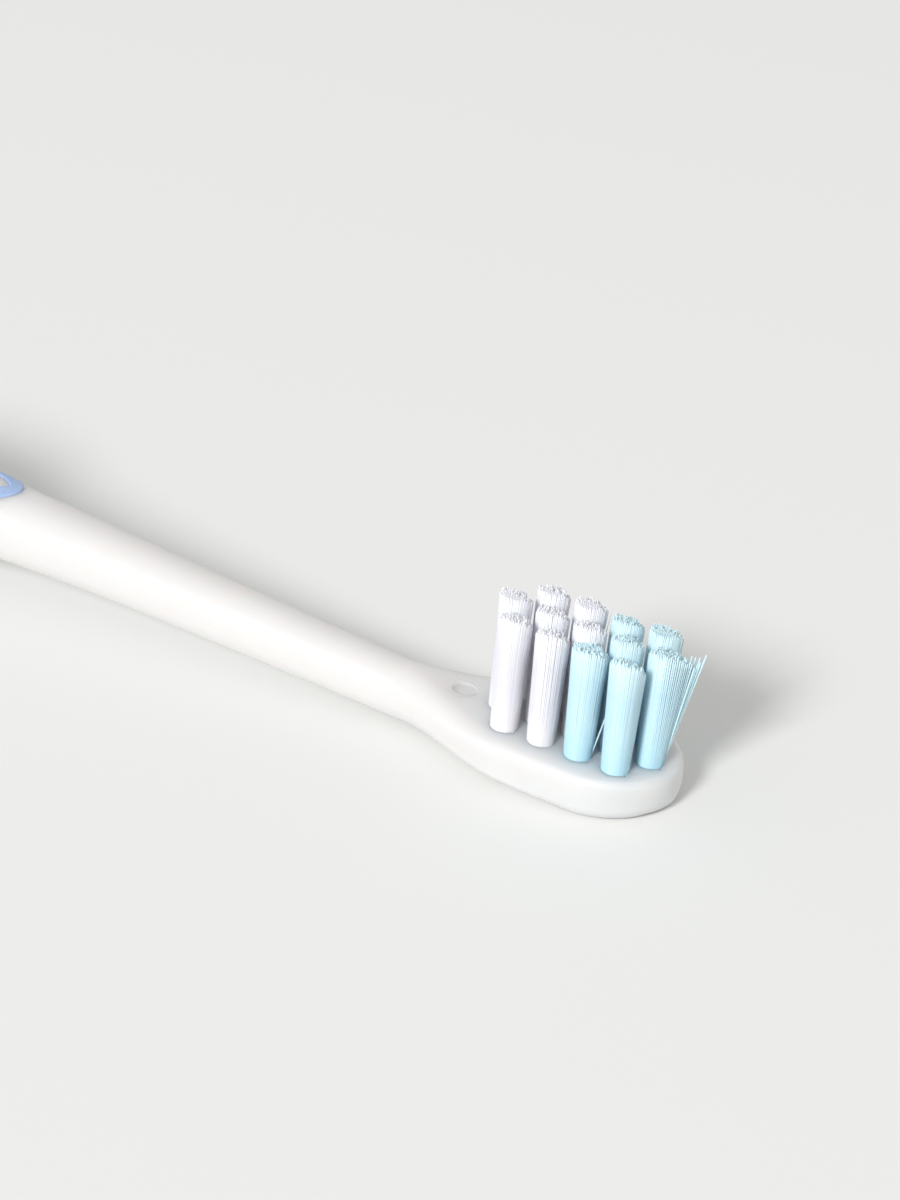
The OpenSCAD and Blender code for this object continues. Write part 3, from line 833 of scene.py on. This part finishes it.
class Tuft:
    """One tuft under construction: where its filaments stand, how each one grows, and their mesh"""

    # Outer rings whose filaments reach down to the face, inside of which only ends are modelled
    LONG_RINGS = 3
    # Directions, towards the tip and the far side, in which a tuft's top slopes, and in which it is domed
    # and the last tuft fans out
    TRIM_WAY = Vector((0.1, 0.995))
    FAN_WAY = Vector((0.87, 0.49))
    # Lean of the fanned filaments, and more of it at the outer edge of the fan
    FAN = 0.0004
    FAN_EDGE = 0.0006
    # How uneven filaments are: place along their ring and across it, lean, bend and length
    ALONG_SHARE = 0.05
    ACROSS_SHARE = 0.01
    LEAN_SPREAD = 0.000012
    BEND_SPREAD = 0.000006
    LENGTH_SPREAD = 0.00006
    # One filament in six is longer by the last of these, and all end this much below the full height
    STANDS_OUT = (0.0, 0.0, 0.0, 0.0, 0.0, 0.0002)
    ROOM = 0.0003
    # Where a filament's end begins for the light that falls on it, and the length of the change
    END_BELOW = 0.0006
    END_BLEND = 0.0005
    # Shares of a filament's own normal, the bundle's, its outward and upward parts, and the change at an end
    OWN_SHARE = 0.3
    BUNDLE_SHARE = 0.7
    OUT_SHARE = 0.6
    UP_SHARE = 0.7
    END_SHARE = 0.3
    # Least distance from the middle, in radii, over which a filament counts as fully turned outwards
    LEAST_OUT = 0.2
    # Distance of a stray filament's foot from the middle, and the place whose tone its foot has
    STRAY_FOOT_SHARE = 0.97
    STRAY_TONE_SHARE = 0.85
    # How much shorter a tuft is cut, how steep its trimmed top is, and the flare of the near blue tufts
    USUAL_CUT = 0.0003
    CUTS = {("near", 1): 0.0004, ("near", 2): 0.0005, ("near", 3): 0.0007, ("near", 4): 0.0005,
            ("middle", 1): 0.0, ("far", 1): 0.0001, ("far", 2): 0.0, ("far", 3): 0.0003, ("far", 4): 0.0}
    SLANT_SHARES = {("near", 1): 0.9, ("near", 3): 0.7, ("near", 4): 1.2}
    WIDE_SHARE = 1.4
    # Stray filaments: direction of the foot from the tuft's middle, lean of the end towards the tip and
    # the far side, how much shorter they are, and their thickness in filaments
    STRAYS = {("near", 3): [(0.2, 0.0019, 0.0006, 0.0045, 1.1)],
              ("near", 1): [(2.9, -0.0005, 0.0, 0.0021, 0.5)],
              ("near", 2): [(2.6, -0.0003, 0.0002, 0.0008, 0.5)],
              ("middle", 1): [(3.0, -0.0005, 0.0, 0.0016, 0.5), (3.4, -0.0003, -0.0001, 0.0011, 0.5)],
              ("far", 2): [(0.3, 0.0005, 0.0002, 0.0003, 0.5)],
              ("middle", 5): [(0.5, 0.0017, 0.0009, 0.0006, 1.3), (0.4, 0.0015, 0.0007, 0.0012, 1.2),
                              (0.6, 0.0014, 0.0007, 0.0009, 1.3), (0.2, 0.0013, 0.0003, 0.0014, 1.1),
                              (0.7, 0.0011, 0.0006, 0.001, 1.3), (0.3, 0.001, 0.0003, 0.0012, 1.2),
                              (0.5, 0.0008, 0.0004, 0.0008, 1.3)]}

    def __init__(self, kit, row, number, seed):
        tufts = kit.tufts
        wide = row == "near" and number > LAST_WHITE[row]
        self.kit, self.tufts, self.chance = kit, tufts, random.Random(seed)
        self.cut = self.CUTS.get((row, number), self.USUAL_CUT)
        self.slant = tufts.slant * self.SLANT_SHARES.get((row, number), 1.0)
        self.flare = tufts.flare * (self.WIDE_SHARE if wide else 1.0)
        self.tilt = np.array([tufts.tilt * TILT_SHARES[row], 0.0])
        self.splayed = row == "middle" and number == ROWS[row]
        self.strays = self.STRAYS.get((row, number), [])
        self.trim, self.fan = np.array(self.TRIM_WAY), np.array(self.FAN_WAY)
        self.verts, self.normals, self.faces, self.values, self.count = [], [], [], [], 0

    def top_over(self, foot):
        """Height of the trimmed top over a place in the tuft, given in radii from its middle"""
        tufts = self.tufts
        fall = self.slant * (tufts.hole + self.flare) * (0.5 + 0.5 * (foot @ self.trim))
        return tufts.height - self.cut - fall - tufts.dome * abs(foot @ self.fan) ** 3

    def plan(self):
        """Model and foot of each filament, ring by ring from the rim inwards"""
        kit, chance = self.kit, self.chance
        found, ring, reach = [], 0, kit.radius
        while reach > 0:
            number = max(1, round(math.tau * reach / kit.step))
            turn = chance.uniform(0, math.tau)
            model = kit.long if ring < self.LONG_RINGS else kit.short
            for n in range(number):
                place = n + chance.uniform(-self.ALONG_SHARE, self.ALONG_SHARE)
                angle = turn + math.tau * place / number
                out = reach / kit.radius - chance.uniform(0, self.ACROSS_SHARE)
                found.append((model, np.array([math.cos(angle), math.sin(angle)]) * out))
            ring += 1
            reach = kit.radius - ring * kit.RING_SHARE * kit.step
        return found

    def spread(self, size):
        return np.array([self.chance.gauss(0, size), self.chance.gauss(0, size)])

    def add(self, co, normals, faces, own, along):
        """Adds a copy with its own tone and each vertex's way along the tuft"""
        self.verts.append(co)
        self.normals.append(normals)
        self.faces.extend([[self.count + i for i in face] for face in faces])
        self.values.append(np.stack([np.full(len(co), own), along], axis=1))
        self.count += len(co)

    def laid(self, model, foot, low, tall, lean, thick):
        """Coordinates and normals of a copy, turned and bent at random, and its way up the tuft"""
        rise = (low + np.clip(model.co[:, 2], 0.0, 1.0) * (tall - low)) / self.tufts.height
        bend = self.spread(self.BEND_SPREAD)
        spin = self.chance.uniform(0, math.tau)
        turned = np.array([[math.cos(spin), -math.sin(spin)], [math.sin(spin), math.cos(spin)]])
        co, own = np.empty_like(model.co), np.empty_like(model.normals)
        co[:, :2] = (model.co[:, :2] @ turned.T * thick + foot * self.kit.radius
                     + np.outer(rise, lean + self.tilt) + np.outer(np.sin(rise * math.pi), bend))
        co[:, 2] = low + model.co[:, 2] * (tall - low)
        own[:, :2], own[:, 2] = model.normals[:, :2] @ turned.T, model.normals[:, 2]
        return co, own, rise

    def grow(self, model, foot):
        """Adds one filament of the bundle, which leans outwards with it"""
        tufts, chance = self.tufts, self.chance
        lean = foot * self.flare / 2 + self.spread(self.LEAN_SPREAD)
        out_at = float(foot @ self.fan)
        tall = float(self.top_over(foot)) + chance.gauss(0, self.LENGTH_SPREAD)
        tall = min(tall + chance.choice(self.STANDS_OUT), tufts.height - self.ROOM)
        short = model is self.kit.short
        low = tall - tufts.inner if short else 0.0
        if self.splayed and out_at > 0.0:
            lean += self.fan * (self.FAN * out_at + self.FAN_EDGE * out_at ** 4 * chance.uniform(0.6, 1.0))
        thick = 1.0 + (self.flare - tufts.flare) / 2 / self.kit.radius
        co, own, rise = self.laid(model, foot, low, tall, lean, thick)
        near_end = np.clip((co[:, 2] - tall + self.END_BELOW) / self.END_BLEND, 0.0, 1.0)
        if short:
            near_end = np.ones(len(co))
        self.add(co, self.lit(own, foot, near_end), model.faces, chance.random(), rise)

    def lit(self, own, foot, near_end):
        """Normals that lean towards the bundle's own, because light falls on the bundle as a whole"""
        out = np.zeros_like(own)
        away = foot / max(self.LEAST_OUT, float(np.hypot(*foot)))
        out[:, :2] = np.outer(1.0 - near_end, away) * self.OUT_SHARE
        out[:, 2] = self.UP_SHARE - self.END_SHARE * near_end
        kept = own * (self.OWN_SHARE + self.END_SHARE * near_end)[:, None]
        return unit_length(kept + out * self.BUNDLE_SHARE)

    def stray(self, way, over_x, over_y, drop, thick):
        """Adds a filament that stands away from the bundle"""
        foot = np.array([math.cos(way), math.sin(way)]) * self.STRAY_FOOT_SHARE
        co, own, rise = self.laid(self.kit.long, foot, 0.0, self.tufts.height - drop,
                                  np.array([over_x, over_y]), thick)
        start = self.STRAY_TONE_SHARE
        self.add(co, unit_length(own), self.kit.long.faces, 0.0, mix(start, 1.0, rise))

    def fill(self):
        """Adds the heart, whose top follows the trim and whose sides follow the flare and the tilt"""
        model, tufts = self.kit.heart, self.tufts
        co = model.co.copy()
        way = co[:, :2] / np.linalg.norm(co[:, :2], axis=1)[:, None]
        high = np.clip(co[:, 2] / tufts.height, 0.0, 1.0)
        co[:, 2] = np.where(co[:, 2] < 0.0, co[:, 2], high * (self.top_over(way) - tufts.packed))
        co[:, :2] += np.outer(high, self.tilt) + way * (high * (self.flare - tufts.flare) / 2)[:, None]
        self.add(co, model.normals, model.faces, 0.5, np.clip(co[:, 2] / tufts.height, 0.0, 1.0))

    def planted(self, name, place):
        """Grows the whole tuft and sets it in its place on the face"""
        for model, foot in self.plan():
            self.grow(model, foot)
        for stray in self.strays:
            self.stray(*stray)
        self.fill()
        mesh = bpy.data.meshes.new(name)
        mesh.from_pydata(np.concatenate(self.verts).tolist(), [], self.faces)
        layer = mesh.uv_layers.new(name=FILAMENT_MAP)
        corner = np.empty(len(mesh.loops), np.int32)
        mesh.loops.foreach_get("vertex_index", corner)
        layer.data.foreach_set("uv", np.concatenate(self.values)[corner].ravel())
        mesh.polygons.foreach_set("use_smooth", [True] * len(mesh.polygons))
        mesh.transform(place)
        turned = np.concatenate(self.normals) @ np.array(place.to_3x3()).T
        mesh.normals_split_custom_set_from_vertices(turned.tolist())
        mesh.update()
        tuft = bpy.data.objects.new(name, mesh)
        bpy.context.collection.objects.link(tuft)
        return tuft


class BRUSH_OT_tufts(bpy.types.Operator):
    """Models one tapered filament and plants thousands of them as thirteen tufts"""

    bl_idname = "brush.tufts"
    bl_label = "Bristle Tufts"

    FIRST_SEED = 11

    def execute(self, context):
        scene = context.scene
        tufts, finishes = scene.brush_tufts, scene.brush_finishes
        kit = Kit(tufts)
        white = bristle_finish("white_nylon", finishes.white, finishes.white_foot_painted_light, finishes.white_tip_pale_and_painted_light)
        blue = bristle_finish("blue_nylon", finishes.blue, finishes.blue_foot_painted_light, finishes.blue_tip_pale_and_painted_light)
        for seed, (row, number, place) in enumerate(tuft_places(Form(scene), tufts), self.FIRST_SEED):
            name = f"tuft_{row}_{number}"
            piece = Tuft(kit, row, number, seed).planted(name + "_bristles", place)
            if number <= LAST_WHITE[row]:
                dress(piece, white, name)
            else:
                dress(piece, blue, name)
        return {"FINISHED"}


class BRUSH_OT_anchors(bpy.types.Operator):
    """Gives the metal anchors inside the head their finish"""

    bl_idname = "brush.anchors"
    bl_label = "Anchors"

    def execute(self, context):
        brass = stamped_brass(context.scene.brush_finishes)
        for name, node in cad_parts.items():
            if name.startswith("anchor_"):
                node.data.materials.clear()
                node.data.materials.append(brass)
        return {"FINISHED"}


class BRUSH_OT_studio(bpy.types.Operator):
    """Sets the pale floor, the soft light and the camera"""

    bl_idname = "brush.studio"
    bl_label = "Studio"

    FLOOR_RADIUS = 4.0
    # Distance from the middle of the brush to the place that the soft light faces
    LIT_AT = 0.05
    # The camera aims ahead of the tip and below the face, and is then moved aside and up
    AIM_AHEAD = 0.00005
    AIM_BELOW = 0.0034
    ASIDE = -0.01582
    RAISED = 0.01501

    def lay_floor(self, finishes):
        floor = primitive(bpy.ops.mesh.primitive_circle_add, "studio_floor", vertices=96,
                          radius=self.FLOOR_RADIUS, fill_type="NGON")
        make = Finish("studio_paper")
        tone = make.blend(make.grain(size=0.08) * 0.25, finishes.floor, [c * 0.99 for c in finishes.floor])
        floor.data.materials.append(make.surface(Base_Color=tone, Roughness=0.9, Specular_IOR_Level=0.0))

    def light_room(self, scene, studio):
        """Even light from all round, a pale background for the camera and reflections, and a soft lamp"""
        world = scene.world or bpy.data.worlds.new("studio_world")
        scene.world = world
        world.use_nodes = True
        make = Finish(tree=world.node_tree)
        path = make.node("ShaderNodeLightPath")
        camera, glossy, through = (Wire(make, path.outputs[f"Is {kind} Ray"])
                                   for kind in ("Camera", "Glossy", "Transmission"))
        even = make.node("ShaderNodeBackground", {}, {"Color": (1.0, 1.0, 0.99), "Strength": studio.fill})
        shown = make.node("ShaderNodeBackground", {}, {"Color": scene.brush_finishes.floor, "Strength": 1.0})
        either = make.node("ShaderNodeMixShader", {},
                           {0: camera + glossy + through, 1: even.outputs[0], 2: shown.outputs[0]})
        make.node("ShaderNodeOutputWorld", {}, {"Surface": either.outputs[0]})
        bpy.ops.object.light_add(type="AREA")
        key = bpy.context.active_object
        key.name = "key_softbox"
        key.data.shape = "DISK"
        key.data.size = studio.key_size
        key.data.energy = studio.key
        level = math.cos(studio.key_rise)
        way = Vector((level * math.cos(studio.key_turn), level * math.sin(studio.key_turn),
                      math.sin(studio.key_rise)))
        key.location = Vector((self.LIT_AT, 0.0, 0.0)) + way * studio.key_away
        key.rotation_euler = way.to_track_quat("Z", "Y").to_euler()

    def set_camera(self, scene, studio):
        turn, rise = studio.turn, studio.rise
        back = Vector((math.sin(turn) * math.cos(rise), -math.cos(turn) * math.cos(rise), math.sin(rise)))
        level = Vector((math.cos(turn), math.sin(turn), 0.0))
        above = back.cross(level)
        right = level * math.cos(studio.roll) + above * math.sin(studio.roll)
        up = above * math.cos(studio.roll) - level * math.sin(studio.roll)
        aim = Vector((TIP_X + self.AIM_AHEAD, 0.0, Form(scene).face_z - self.AIM_BELOW))
        eye = aim + right * self.ASIDE + up * self.RAISED + back * studio.away
        bpy.ops.object.camera_add()
        camera = bpy.context.active_object
        camera.name = "portrait_camera"
        camera.data.lens = studio.lens
        camera.data.clip_start = 0.01
        camera.matrix_world = Matrix.Translation(eye) @ Matrix((right, up, back)).transposed().to_4x4()
        scene.camera = camera

    def execute(self, context):
        scene = context.scene
        self.lay_floor(scene.brush_finishes)
        self.light_room(scene, scene.brush_studio)
        self.set_camera(scene, scene.brush_studio)
        scene.view_settings.view_transform = "Standard"
        return {"FINISHED"}


class BRUSH_PT_dresser(bpy.types.Panel):
    """Lists the steps and sizes of the toothbrush"""

    bl_label = "Toothbrush"
    bl_idname = "BRUSH_PT_dresser"
    bl_space_type = "VIEW_3D"
    bl_region_type = "UI"
    bl_category = "Toothbrush"

    def draw(self, context):
        column = self.layout.column()
        for step in STEPS:
            column.operator(step.bl_idname)
        for name, group in GROUPS.items():
            box = self.layout.box()
            box.label(text=group.bl_rna.description or name)
            for key in group.__annotations__:
                box.prop(getattr(context.scene, name), key)


STEPS = (BRUSH_OT_handle, BRUSH_OT_thumb_ring, BRUSH_OT_tufts, BRUSH_OT_anchors, BRUSH_OT_studio)
GROUPS = {"brush_head": HeadSizes, "brush_neck": NeckSizes, "brush_grip": GripSizes,
          "brush_tufts": TuftSizes, "brush_finishes": Finishes, "brush_studio": StudioSetting}


def register():
    for group in GROUPS.values():
        bpy.utils.register_class(group)
    for name, group in GROUPS.items():
        setattr(bpy.types.Scene, name, PointerProperty(type=group))
    for step in STEPS:
        bpy.utils.register_class(step)
    bpy.utils.register_class(BRUSH_PT_dresser)


def unregister():
    bpy.utils.unregister_class(BRUSH_PT_dresser)
    for step in reversed(STEPS):
        bpy.utils.unregister_class(step)
    for name in GROUPS:
        delattr(bpy.types.Scene, name)
    for group in reversed(GROUPS.values()):
        bpy.utils.unregister_class(group)


def main():
    register()
    bpy.ops.brush.handle()
    bpy.ops.brush.thumb_ring()
    bpy.ops.brush.tufts()
    bpy.ops.brush.anchors()
    bpy.ops.brush.studio()


if __name__ == "__main__":
    main()
